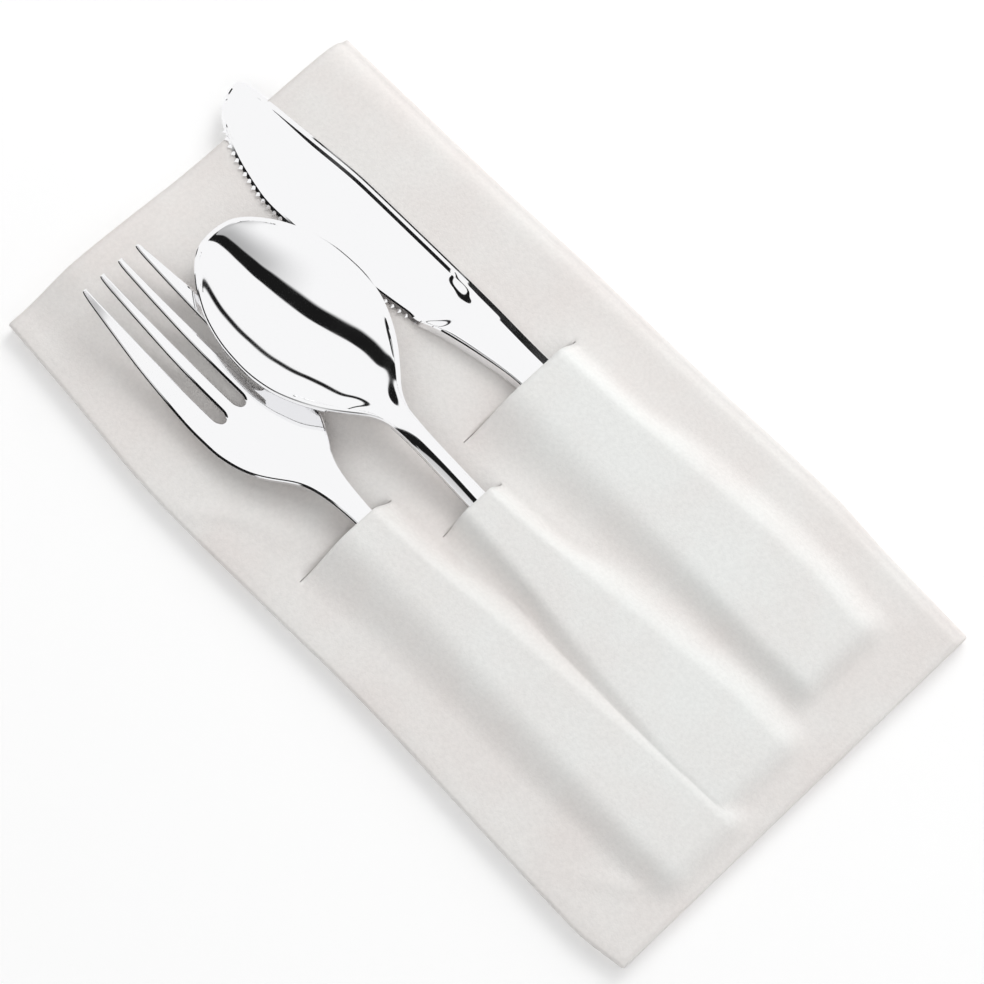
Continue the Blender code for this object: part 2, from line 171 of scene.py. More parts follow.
@dataclass(frozen=True)
class MirrorPlating:
    """Vacuum-metallised polystyrene: injection moulded, then given a film of aluminium.

    It gives the eye a bright mirror that is a touch softer than polished steel, with the faint swell that
    moulded plastic keeps as it cools.
    """

    color: str = "F7F7F8"
    roughness: float = 0.035
    haze: float = 0.03  # how much rougher the cloudier patches are
    haze_size: float = 9.0  # mm across one patch
    swell_size: float = 14.0  # mm from one swell to the next
    swell_height: float = 0.004  # mm

    def material(self, name: str) -> bpy.types.Material:
        """Builds the finish under this name."""
        material, tree, shader = new_material(name)
        place = add_node(tree, "ShaderNodeTexCoord").outputs["Object"]
        clouds = add_node(tree, "ShaderNodeTexNoise", {"Vector": place, "Scale": per_mm(self.haze_size)})
        gloss = add_node(
            tree,
            "ShaderNodeMapRange",
            {
                "Value": clouds.outputs["Fac"],
                "From Min": 0.35,
                "From Max": 0.7,
                "To Min": self.roughness,
                "To Max": self.roughness + self.haze,
            },
        )
        swell = add_node(
            tree, "ShaderNodeTexNoise", {"Vector": place, "Scale": per_mm(self.swell_size), "Detail": 0.0}
        )
        bump = add_node(
            tree, "ShaderNodeBump", {"Height": swell.outputs["Fac"], "Distance": self.swell_height * MM}
        )
        shader.inputs["Base Color"].default_value = srgb(self.color)
        shader.inputs["Metallic"].default_value = 1.0
        tree.links.new(gloss.outputs["Result"], shader.inputs["Roughness"])
        tree.links.new(bump.outputs["Normal"], shader.inputs["Normal"])
        return material


@dataclass(frozen=True)
class AirlaidPaper:
    """Airlaid napkin paper: wood fluff laid by air, bonded with latex and lightly calendered.

    It gives the eye a matt white with a felt-like nap of clumped fibres. A single ply lets through a little
    of what lies under it, so it looks cooler over the metal than over the folded stack. That cooler white is
    also set lighter than the warm one, as a painted highlight for the lit tops of the ridges over the
    handles.
    of what lies under it, so it looks cooler over the metal than over the folded stack.
    """

    warm: str = "ECE7E4"
    # The cooler white over the handles, set lighter than the warm one as a painted highlight on the ridges'
    # lit tops.
    cool_and_lit: str = "F2F3F1"
    clump: float = 0.9  # mm across a clump of fibres
    clump_height: float = 0.05  # mm
    nap: float = 0.35  # mm: real fibres are 0.03 mm, too fine to show, so the nap is drawn this coarse
    nap_height: float = 0.03  # mm
    cloud: float = 22.0  # mm across the sheet's thicker and thinner areas
    see_through_and_lit: float = 0.55  # how much of the cooler, lighter white shows over the metal: see-through tint and painted highlight on the ridges

    def material(self, name: str) -> bpy.types.Material:
        """Builds the finish under this name."""
        material, tree, shader = new_material(name)
        place = add_node(tree, "ShaderNodeTexCoord").outputs["Object"]
        # Where the top ply lies over a handle: the mask for the see-through tint and the painted highlight on
        # the ridges.
        over_metal = add_node(tree, "ShaderNodeAttribute", attribute_name=Napkin.OVER_METAL)
        clouds = add_node(
            tree, "ShaderNodeTexNoise", {"Vector": place, "Scale": per_mm(self.cloud), "Detail": 3.0}
        )
        thin = add_node(
            tree,
            "ShaderNodeMapRange",
            {"Value": clouds.outputs["Fac"], "From Min": 0.35, "From Max": 0.65, "To Max": 0.45},
        )
        # Cooler and lighter over the handles (see-through tint and painted highlight on the ridges), plus the
        # sheet's thinner clouds.
        cooler_and_lit = add_node(
            tree,
            "ShaderNodeMath",
            {0: over_metal.outputs["Fac"], 1: self.see_through_and_lit, 2: thin.outputs["Result"]},
            operation="MULTIPLY_ADD",
            use_clamp=True,
        )
        tint = add_node(
            tree,
            "ShaderNodeMix",
            {"Factor": cooler_and_lit.outputs[0], "A": srgb(self.warm), "B": srgb(self.cool_and_lit)},
            data_type="RGBA",
        )
        clumps = add_node(
            tree, "ShaderNodeTexNoise", {"Vector": place, "Scale": per_mm(self.clump), "Detail": 3.0}
        )
        nap = add_node(
            tree, "ShaderNodeTexNoise", {"Vector": place, "Scale": per_mm(self.nap), "Detail": 2.0}
        )
        speck = add_node(
            tree,
            "ShaderNodeMapRange",
            {
                "Value": clumps.outputs["Fac"],
                "From Min": 0.3,
                "From Max": 0.7,
                "To Min": 0.965,
                "To Max": 1.02,
            },
        )
        shade = add_node(
            tree,
            "ShaderNodeVectorMath",
            {0: tint.outputs["Result"], "Scale": speck.outputs["Result"]},
            operation="SCALE",
        )
        coarse = add_node(
            tree, "ShaderNodeBump", {"Height": clumps.outputs["Fac"], "Distance": self.clump_height * MM}
        )
        fine = add_node(
            tree,
            "ShaderNodeBump",
            {
                "Height": nap.outputs["Fac"],
                "Distance": self.nap_height * MM,
                "Normal": coarse.outputs["Normal"],
            },
        )
        tree.links.new(shade.outputs["Vector"], shader.inputs["Base Color"])
        tree.links.new(fine.outputs["Normal"], shader.inputs["Normal"])
        shader.inputs["Roughness"].default_value = 0.95
        shader.inputs["Specular IOR Level"].default_value = 0.2
        return material


# ---------------------------------------------------------------- meshes


def grid_cage(
    columns: int,
    rows: int,
    place: Callable[[int, int], tuple[float, float, float]],
    keeps: Callable[[int, int], bool] = lambda column, row: True,
) -> bmesh.types.BMesh:
    """Makes a sheet of quads.

    Args:
        columns: vertices across.
        rows: vertices along.
        place: (column, row) to the vertex's coordinates.
        keeps: false for the lower column and row of a face to leave out.

    Returns:
        The sheet. Its vertices' "column" layer holds the column of each.
    """
    work = bmesh.new()
    numbers = work.verts.layers.int.new("column")
    bmesh.ops.create_grid(work, x_segments=columns - 1, y_segments=rows - 1, size=0.5)
    cell = {}
    for vertex in work.verts:
        cell[vertex] = (
            round((vertex.co.x + 0.5) * (columns - 1)),
            round((vertex.co.y + 0.5) * (rows - 1)),
        )
    dropped = []
    for face in work.faces:
        column = min(cell[vertex][0] for vertex in face.verts)
        row = min(cell[vertex][1] for vertex in face.verts)
        if not keeps(column, row):
            dropped.append(face)
    for vertex in work.verts:
        vertex.co = place(*cell[vertex])
        vertex[numbers] = cell[vertex][0]
    bmesh.ops.delete(work, geom=dropped, context="FACES")
    return work


def new_piece(name: str, mesh: bpy.types.Mesh, material: bpy.types.Material) -> bpy.types.Object:
    """Links an object of this mesh with this material."""
    piece = bpy.data.objects.new(name, mesh)
    bpy.context.scene.collection.objects.link(piece)
    mesh.materials.clear()
    mesh.materials.append(material)
    return piece


def settled(piece: bpy.types.Object) -> bpy.types.Object:
    """Applies every modifier, so that the piece is a plain mesh."""
    graph = bpy.context.evaluated_depsgraph_get()
    mesh = bpy.data.meshes.new_from_object(piece.evaluated_get(graph), depsgraph=graph)
    old = piece.data
    piece.modifiers.clear()
    piece.data = mesh
    bpy.data.meshes.remove(old)
    return piece


def box_of(mesh: bpy.types.Mesh) -> tuple[Vector, Vector]:
    """The lowest and highest corners of a mesh."""
    points = np.empty(len(mesh.vertices) * 3)
    mesh.vertices.foreach_get("co", points)
    points = points.reshape(-1, 3)
    return Vector(points.min(0)), Vector(points.max(0))


@dataclass(frozen=True)
class Lay:
    """How a moulding lies in the pack: the end of its handle, its length and its turns."""

    node: str
    length: float  # mm
    end: tuple[float, float]  # mm
    bed: float  # mm above the table
    yaw: float  # degrees, counter-clockwise from above
    roll: float  # degrees, towards +x

    def turn(self, mesh: bpy.types.Mesh) -> None:
        """Turns a mesh from the piece's own frame to the pack's, and sets it on its CAD node's box."""
        turn = Euler((0.0, math.radians(self.roll), math.radians(self.yaw))).to_matrix().to_4x4()
        shift = Matrix.Translation((self.end[0] * MM, self.end[1] * MM, self.bed * MM))
        mesh.transform(shift @ turn @ Matrix.Scale(MM, 4))
        low, high = box_of(mesh)
        cad_low, cad_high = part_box(self.node)
        middle = 0.5 * (cad_low + cad_high - low - high)
        offset = Vector((middle.x, middle.y, cad_low.z - low.z))
        mesh.transform(Matrix.Translation(offset))
        report.info("%s: moved %.2f, %.2f, %.2f mm onto its CAD box", self.node, *(offset / MM))

    def station(self, y: float) -> float:
        """Distance in mm from the piece's far tip of the section at y, in mm."""
        along = (y - self.end[1]) / math.cos(math.radians(self.yaw))
        return self.length - min(max(along, 0.0), self.length)

    def axis_x(self, y: float) -> float:
        """Where the piece's middle line is at y, in mm."""
        return self.end[0] - (y - self.end[1]) * math.tan(math.radians(self.yaw))


@dataclass
class Moulding:
    """A moulded piece: a flat cage with loops of faces along its outline, raised, closed and smoothed."""

    lay: Lay
    loops: tuple[float, ...]  # mm across each loop of faces, from the outline inwards
    sharp_loops: tuple[int, ...]  # which loop lines are crisp edges, with 0 for the outline
    sharp_columns: tuple[int, ...] = ()  # which lines along the piece are crisp edges
    finish: MirrorPlating = MirrorPlating()
    smoothing: int = 2
    INSIDE = 99  # the loop number of every point inside the innermost loop

    def cage(self) -> bmesh.types.BMesh:
        """The flat outline as a grid in mm: x across, y the station."""
        raise NotImplementedError

    def heights(self, x: float, station: float, loop: int) -> tuple[float, float]:
        """(underside, top) in mm at a point of the cage."""
        raise NotImplementedError

    def is_crisp(self, loop: int, column: int, station: float) -> bool:
        """Whether an edge along a loop, or inside them all along a column, is a crisp one."""
        return loop in self.sharp_loops or (loop == self.INSIDE and column in self.sharp_columns)

    def add_loops(self, work: bmesh.types.BMesh) -> None:
        """Insets the outline once for each loop, and numbers the points by loop."""
        numbers = work.verts.layers.int.new("loop")
        for vertex in work.verts:
            vertex[numbers] = self.INSIDE
        region = list(work.faces)
        for number, width in enumerate(self.loops, start=1):
            band = set(
                bmesh.ops.inset_region(
                    work, faces=region, thickness=width, use_boundary=True, use_even_offset=False
                )["faces"]
            )
            inner = {vertex for face in region for vertex in face.verts}
            for face in band:
                for vertex in face.verts:
                    vertex[numbers] = number if vertex in inner else number - 1

    def close(self, flat: bmesh.types.BMesh) -> bpy.types.Mesh:
        """Raises the flat cage to its top and underside and walls it in.

        Args:
            flat: the cage with its loops, which is freed.

        Returns:
            A closed mesh in mm, with y towards the far tip and its crisp edges creased.
        """
        loop_numbers = flat.verts.layers.int["loop"]
        column_numbers = flat.verts.layers.int["column"]
        work = bmesh.new()
        crease = work.edges.layers.float.new("crease_edge")
        top, under = {}, {}
        for vertex in flat.verts:
            x, station = vertex.co.x, vertex.co.y
            low, high = self.heights(x, station, vertex[loop_numbers])
            top[vertex] = work.verts.new((x, self.lay.length - station, high))
            under[vertex] = work.verts.new((x, self.lay.length - station, low))
        for face in flat.faces:
            work.faces.new([top[vertex] for vertex in face.verts])
            work.faces.new([under[vertex] for vertex in reversed(face.verts)])
        for edge in flat.edges:
            first, second = edge.verts
            if edge.is_boundary:
                work.faces.new((top[first], top[second], under[second], under[first]))
            loop, column = first[loop_numbers], first[column_numbers]
            same_loop = loop == second[loop_numbers]
            same_column = column == second[column_numbers]
            if same_loop and self.is_crisp(loop, column if same_column else -1, first.co.y):
                line = work.edges.get((top[first], top[second]))
                line[crease] = 1.0
                line.smooth = False
        bmesh.ops.recalc_face_normals(work, faces=work.faces)
        for face in work.faces:
            face.smooth = True
        mesh = bpy.data.meshes.new(self.lay.node)
        work.to_mesh(mesh)
        work.free()
        flat.free()
        return mesh

    def build(self) -> bpy.types.Object:
        """Makes the piece and dresses it."""
        flat = self.cage()
        self.add_loops(flat)
        plating = self.finish.material(f"{self.lay.node}_metallised_ps")
        piece = new_piece(f"{self.lay.node}_moulding", self.close(flat), plating)
        smooth = piece.modifiers.new("Smoothing", "SUBSURF")
        smooth.levels = smooth.render_levels = self.smoothing
        settled(piece)
        self.add_details(piece)
        self.lay.turn(piece.data)
        return piece

    def add_details(self, piece: bpy.types.Object) -> None:
        """Joins on what the cage doesn't hold, in the piece's own frame."""


# ---------------------------------------------------------------- the fork


@dataclass
class Fork(Moulding):
    """A four-tined dinner fork."""

    lay: Lay = Lay("fork", 188.0, (-23.1, -98.6), 4.1, 2.0, 4.0)
    loops: tuple[float, ...] = (0.24, 0.3)
    sharp_loops: tuple[int, ...] = (0, 1, 2)
    tines: int = 4
    slot_root: float = 44.5
    slot_width: Stations = ((0, 4.3), (15, 3.7), (32, 3.1), (44.5, 3.0))
    tine_pitch: Stations = ((0, 5.6), (44.5, 6.15), (60, 4.2), (72, 1.4), (86, 0.9), (188, 2.6))
    half_width: Stations = (
        (0, 9.05), (11, 10.4), (21, 11.6), (32, 12.6), (42, 13.3), (48, 13.3), (53, 12.6), (58, 11.2),
        (63, 8.6), (67, 5.9), (71, 4.2), (78, 3.0), (86, 2.5), (100, 2.8), (150, 5.0), (180, 6.4), (185, 5.9),
        (188, 3.6),
    )
    bottom: Stations = (
        (0, 8.8), (12, 5.3), (24, 2.7), (36, 1.2), (46, 1.0), (54, 1.3), (61, 2.2), (69, 3.1), (76, 3.0),
        (86, 1.9), (100, 0.9), (130, 0.2), (160, 0.0), (188, 0.0),
    )
    thickness: Stations = (
        (0, 0.8), (12, 1.2), (30, 1.6), (46, 1.8), (60, 2.0), (72, 2.5), (86, 2.6), (150, 2.2), (188, 1.8),
    )
    edge_drops: tuple[float, ...] = (0.29, 0.06, 0.0)  # mm lost at each loop line

    def borders(self, station: float) -> list[float]:
        """The x of the borders between tines and slots, left to right."""
        half_width = through(self.half_width, station)
        pitch = through(self.tine_pitch, station)
        half_slot = 0.5 * through(self.slot_width, station) * min(pitch / 6.15, 1.0)
        found = [-half_width]
        for slot in range(self.tines - 1):
            middle = (slot - 0.5 * (self.tines - 2)) * pitch
            found += [middle - half_slot, middle + half_slot]
        return found + [half_width]

    def cage(self) -> bmesh.types.BMesh:
        """Tines and slots side by side as bands of the grid, with the slots' cells left out."""
        tine_cells, slot_cells = 2, 4
        columns = []
        for band in range(2 * self.tines - 1):
            cells = slot_cells if band % 2 else tine_cells
            columns += [(band, index / cells) for index in range(cells)]
        columns.append((2 * self.tines - 2, 1.0))
        tine_rows = [0.0, 0.35, 1.2, 3.0] + steps(6.0, 39.0, 11) + [41.4]
        body_rows = [self.slot_root, 46.5] + steps(49.0, 88.0, 15)
        rows = tine_rows + body_rows + [92, 98, 106, 116, 130, 145, 160, 172, 180, 184, 186.5, 188]
        root = len(tine_rows)
        tip_narrowing = {0: 0.5, 1: 0.72, 2: 0.9}

        def place(column: int, row: int) -> tuple[float, float, float]:
            band, share = columns[column]
            station = rows[row]
            borders = self.borders(station)
            if row == root:
                radius = 0.5 * (borders[2] - borders[1])
                across = 2 * share - 1 if band % 2 else 1.0
                station -= radius * (1 - math.sqrt(max(1 - across * across, 0.0)))
            x = between(borders[band], borders[band + 1], share)
            if band % 2 == 0:
                x = between(0.5 * (borders[band] + borders[band + 1]), x, tip_narrowing.get(row, 1.0))
            return (x, station, 0.0)

        def keeps(column: int, row: int) -> bool:
            return row >= root or columns[column][0] % 2 == 0

        return grid_cage(len(columns), len(rows), place, keeps)

    def heights(self, x: float, station: float, loop: int) -> tuple[float, float]:
        """A plate of even section whose edge is broken by two narrow facets."""
        low = through(self.bottom, station)
        drop = self.edge_drops[loop] if loop < len(self.edge_drops) else 0.0
        return low, low + through(self.thickness, station) - drop


# ---------------------------------------------------------------- the spoon


@dataclass
class Spoon(Moulding):
    """A dinner spoon with a flat land round its bowl."""

    lay: Lay = Lay("spoon", 175.0, (-4.1, -94.5), 4.05, 0.5, 2.5)
    loops: tuple[float, ...] = (0.24, 0.3, 0.6, 0.2)
    sharp_loops: tuple[int, ...] = (0, 1, 2, 3, 4)
    half_width: Stations = (
        (0, 0), (0.03, 1.0), (0.12, 2.0), (0.4, 3.7), (0.9, 5.3), (2.5, 7.7), (5, 10.1), (10, 13.6),
        (17, 16.75), (25, 18.35), (31, 18.6), (38, 17.7),
        (45, 15.1), (51, 11.6), (56, 7.6), (60, 4.4), (64, 2.9), (72, 2.4), (90, 2.5), (120, 4.4), (150, 7.2),
        (166, 8.4), (172, 7.4), (175, 4.4),
    )
    rim: Stations = (
        (0, 6.9), (10, 7.1), (30, 6.9), (46, 6.8), (58, 6.2), (66, 5.2), (76, 3.8), (90, 1.9), (105, 0.9),
        (130, 0.3), (150, 0.0), (175, 0.0),
    )
    thickness: Stations = (
        (0, 1.2), (8, 1.5), (50, 1.6), (60, 2.0), (70, 2.6), (90, 2.6), (150, 2.2), (175, 1.8),
    )
    depth: Stations = (
        (0, 0), (3, 1.6), (10, 4.0), (20, 5.6), (30, 6.0), (40, 5.3), (50, 3.0), (60, 0.4), (64, 0),
    )
    hollow_depth: float = 6.0  # mm at the bowl's deepest place
    hollow_span: tuple[float, float, float] = (0.0, 29.0, 62.0)  # stations: start, deepest place and end
    edge_drops: tuple[float, ...] = (0.16, 0.06, 0.0, 0.0, 0.12)
    land_end: float = 48.0  # station where the bowl's land stops being crisp
    crown_radius: float = 7.7  # mm, of the handle's rounded top
    tip_corner: float = 4.0  # station where the cage's corners lie on the outline

    def cage(self) -> bmesh.types.BMesh:
        """Rows that bend from the round tip to straight across the handle."""
        across = steps(-1.0, 1.0, 12)
        sides = [self.tip_corner, 5.5, 7.2, 9.2, 11.5] + steps(14.0, 66.0, 22)
        sides += [69, 72, 76, 80, 84, 88, 92, 96, 102, 110, 120, 132, 144, 156, 164, 170, 173, 175]
        middles = [0.0, 2.2, 4.6, 7.2, 10.0] + sides[5:]

        def tip_station(x: float) -> float:
            low, high = 0.0, self.tip_corner
            for _ in range(24):
                middle = 0.5 * (low + high)
                low, high = (middle, high) if through(self.half_width, middle) < abs(x) else (low, middle)
            return high

        def place(column: int, row: int) -> tuple[float, float, float]:
            share = across[column]
            x = share * through(self.half_width, sides[row])
            if row == 0:
                return (x, tip_station(x), 0.0)
            return (x, between(middles[row], sides[row], share * share), 0.0)

        return grid_cage(len(across), len(sides), place)

    def is_crisp(self, loop: int, column: int, station: float) -> bool:
        """The outer loops are crisp to the handle's end, the land's only round the bowl."""
        return loop in self.sharp_loops[:3] or (loop in self.sharp_loops and station < self.land_end)

    def hollow(self, station: float) -> float:
        """Depth in mm of the bowl's hollow along its middle: round at the tip, drawn out at the neck."""
        start, deepest, end = self.hollow_span
        side, power = (deepest - start, 0.8) if station < deepest else (end - deepest, 1.6)
        return self.hollow_depth * max(1 - ((station - deepest) / side) ** 2, 0.0) ** power

    def inner_half_width(self, station: float) -> float:
        """Half the width of the bowl's hollow inside its land."""
        inset = sum(self.loops[:3])
        near, far = through(self.half_width, station - 0.5), through(self.half_width, station + 0.5)
        lean = math.hypot(1.0, far - near)
        return max(through(self.half_width, station) - inset * lean, 0.4)

    def heights(self, x: float, station: float, loop: int) -> tuple[float, float]:
        """The bowl's hollow inside its land, and a rounded top along the handle."""
        rim = through(self.rim, station)
        top = rim + through(self.thickness, station)
        share = min(abs(x) / through(self.half_width, station), 1.0)
        low = rim - through(self.depth, station) * (1 - share * share)
        inner_share = min(abs(x) / self.inner_half_width(station), 1.0)
        section = between(1 - inner_share**2, (1 - inner_share**2) ** 2, ease((station - 51) / 9))
        hollow = self.hollow(station - sum(self.loops[:3])) * section
        on_handle = ease((station - 60) / 22)
        crown = on_handle * min(x * x / (2 * self.crown_radius), 1.2)
        if loop < len(self.edge_drops):
            drop = self.edge_drops[loop]
            if loop == 4:
                drop *= 1 - ease((station - 40) / 10)
            return low, top - drop - crown
        return low, top - hollow - crown


# ---------------------------------------------------------------- the knife


@dataclass
class Knife(Moulding):
    """A serrated table knife: a recessed blade face between its teeth and a rib along its spine."""

    lay: Lay = Lay("knife", 196.5, (27.9, -88.4), 3.65, 1.0, 0.0)
    loops: tuple[float, ...] = (0.7, 0.45)
    sharp_loops: tuple[int, ...] = (0, 1, 2)
    sharp_columns: tuple[int, ...] = (11, 12)
    blunt: tuple[float, float] = (72.5, 87.0)  # stations between which the rib melts into the handle
    edge_side: Stations = (
        (0, -0.4), (0.7, -2.6), (3, -6.0), (6, -8.6), (10, -11.0), (19, -14.0), (30, -15.9), (40, -15.7),
        (60, -13.3), (73.5, -11.4), (82, -9.0), (92, -6.9), (104, -5.2), (150, -6.6), (186, -7.8),
        (193, -7.0), (196.5, -4.6),
    )
    spine_side: Stations = (
        (0, 1.6), (0.7, 2.8), (3, 3.6), (8, 4.1), (24, 5.2), (42, 6.3), (65, 6.2), (84, 5.9), (104, 5.2),
        (150, 6.6), (186, 7.8), (193, 7.0), (196.5, 4.6),
    )
    bottom: Stations = ((0, 0.9), (60, 0.7), (90, 1.0), (104, 1.2), (125, 0.4), (150, 0.0), (196.5, 0.0))
    face: float = 1.45  # mm above the underside: the recessed blade face
    rib_rise: float = 0.577  # mm from the face to the rib's top
    rib_inset: float = 1.9  # mm from the spine to the rib top's inner edge
    rib_slope: float = 0.7  # mm across the rib's inner slope
    rib_start: tuple[float, float] = (8.0, 20.0)  # station where the rib begins, and mm to its full height
    shoulder: float = 24.5  # degrees: the slope of the edges broken towards the spine
    handle_top: float = 3.0
    recess_end: float = 82.5  # station of the round end of the recess
    recess_round: float = 7.5  # mm: how far the recess's sides stop short of its round end
    recess_slope: tuple[float, float] = (4.6, 6.4)  # mm before its end where the slope starts, and its run
    tooth_depth: float = 0.6
    first_tooth: float = 8.0
    last_tooth: float = 72.0
    edge_break: tuple[float, float] = (0.18, 0.07)  # mm: the facet inside the teeth, at the tip and past it
    tip_corners: tuple[float, float] = (3.0, 0.7)  # stations of the cage's corners, edge side and spine side

    def edge_x(self, station: float) -> float:
        """The cutting edge's root line: the outline less the teeth's depth."""
        toothed = ease((station - self.first_tooth + 3) / 3) * ease((self.last_tooth + 3 - station) / 3)
        return through(self.edge_side, station) + toothed * self.tooth_depth

    def cage(self) -> bmesh.types.BMesh:
        """Columns at fixed distances from the spine for its rib, and even ones over the face."""
        cells = 10
        edge_rows = [self.tip_corners[0], 4.4, 6.0, 8.0] + steps(10.5, 70.0, 20)
        edge_rows += steps(71.5, 92.0, 16) + [96, 102, 110, 120, 135, 150, 165, 180, 188, 193, 196.5]
        spine_rows = [self.tip_corners[1], 2.6, 4.8, 7.4] + edge_rows[4:]

        def place(column: int, row: int) -> tuple[float, float, float]:
            left, right = self.edge_x(edge_rows[row]), through(self.spine_side, spine_rows[row])
            fit = min((right - left) / 9.0, 1.0)
            foot = self.rib_inset + max(self.rib_share(edge_rows[row]), 0.05) * self.rib_slope
            offsets = {cells + 1: foot * fit, cells + 2: self.rib_inset * fit, cells + 3: 0.0}
            if column in offsets:
                x = right - offsets[column]
            else:
                x = between(left, right - offsets[cells + 1], column / (cells + 1))
            share = (x - left) / (right - left)
            station = between(edge_rows[row], spine_rows[row], share)
            if row == 0:
                return (x, self.tip_station(x), 0.0)
            bow = 0.5 * max(4 - row, 0) * 4 * share * (1 - share)
            return (x, station - bow, 0.0)

        return grid_cage(cells + 4, len(edge_rows), place)

    def tip_station(self, x: float) -> float:
        """The station of the tip's outline at x, on the side that x is of the tip."""
        side = self.edge_side if x < self.edge_side[0][1] else self.spine_side
        low, high = 0.0, max(self.tip_corners)
        if self.edge_side[0][1] <= x <= self.spine_side[0][1]:
            return 0.0
        for _ in range(24):
            middle = 0.5 * (low + high)
            beyond = abs(through(side, middle)) < abs(x)
            low, high = (middle, high) if beyond else (low, middle)
        return high

    def rib_share(self, station: float) -> float:
        """How much of its height and slope the rib has at a station."""
        return ease((station - self.rib_start[0]) / self.rib_start[1])

    def is_crisp(self, loop: int, column: int, station: float) -> bool:
        """The rib's two edges are rounded off where it melts into the handle."""
        melting = loop == self.INSIDE and self.blunt[0] < station < self.blunt[1]
        return not melting and super().is_crisp(loop, column, station)

    def recess(self, x: float, station: float) -> float:
        """1 over the handle, 0 on the blade's face, easing over the recess's round end."""
        left = self.edge_x(station)
        right = through(self.spine_side, station) - self.rib_inset - self.rib_slope
        middle, half = 0.5 * (left + right), max(0.5 * (right - left), 0.5)
        share = min(abs(x - middle) / half, 1.0)
        end = self.recess_end - self.recess_round * (1 - math.sqrt(1 - min(share, 0.995) ** 2))
        return ease((station - end + self.recess_slope[0]) / self.recess_slope[1])

    def heights(self, x: float, station: float, loop: int) -> tuple[float, float]:
        """Teeth's band, face and rib on the blade, and a flat top with broken edges along the handle."""
        low = through(self.bottom, station)
        left, right = self.edge_x(station), through(self.spine_side, station)
        from_spine, from_edge = right - x, x - left
        spine_half = from_spine < from_edge
        rib = self.rib_share(station)
        rise = self.recess(x, station)
        tip = ease(station / 12)
        face = self.face * between(0.72, 1.0, tip)
        rib_top = face + self.rib_rise * rib
        slope = math.tan(math.radians(self.shoulder))
        broken = self.loops[1] * slope
        if spine_half:
            blade = (between(0.5, 1.0, rib), rib_top - broken * rib, rib_top)
            handle = (1.1, 2.0, 2.0 + broken)
        else:
            blade = (0.45 * tip + 0.1, face - between(*self.edge_break, ease((station - 15) / 30)), face)
            handle = (0.7, 2.7, 2.77)
        if loop < len(blade):
            return low, low + between(blade[loop], handle[loop], rise)
        if spine_half and from_spine < self.rib_inset + self.rib_slope + 0.1:
            on_top = from_spine < self.rib_inset + 0.5 * max(rib, 0.05) * self.rib_slope
            on_handle = 2.0 + (from_spine - self.loops[0]) * slope
            return low, low + between(rib_top if on_top else face, min(on_handle, self.handle_top), rise)
        return low, low + between(face, self.handle_top, rise)

    def add_details(self, piece: bpy.types.Object) -> None:
        """Joins the row of teeth to the blade's edge."""
        line = bmesh.new()
        count = round((self.last_tooth - self.first_tooth) / 2)
        points = []
        for station in steps(self.first_tooth, self.last_tooth, 2 * count):
            height = through(self.bottom, station) + 0.62
            points.append(line.verts.new((self.edge_x(station) + 0.35, self.lay.length - station, height)))
        for near, far in zip(points, points[1:]):
            line.edges.new((near, far))
        mesh = bpy.data.meshes.new("edge_line")
        line.to_mesh(mesh)
        line.free()
        teeth = ToothRow().build(mesh, piece.data.materials[0])
        made = len(teeth.vertices) // ToothRow.CORNERS
        work = bmesh.new()
        work.from_mesh(piece.data)
        work.from_mesh(teeth)
        work.to_mesh(piece.data)
        work.free()
        bpy.data.meshes.remove(teeth)
        report.info("knife: %d teeth along the edge", made)


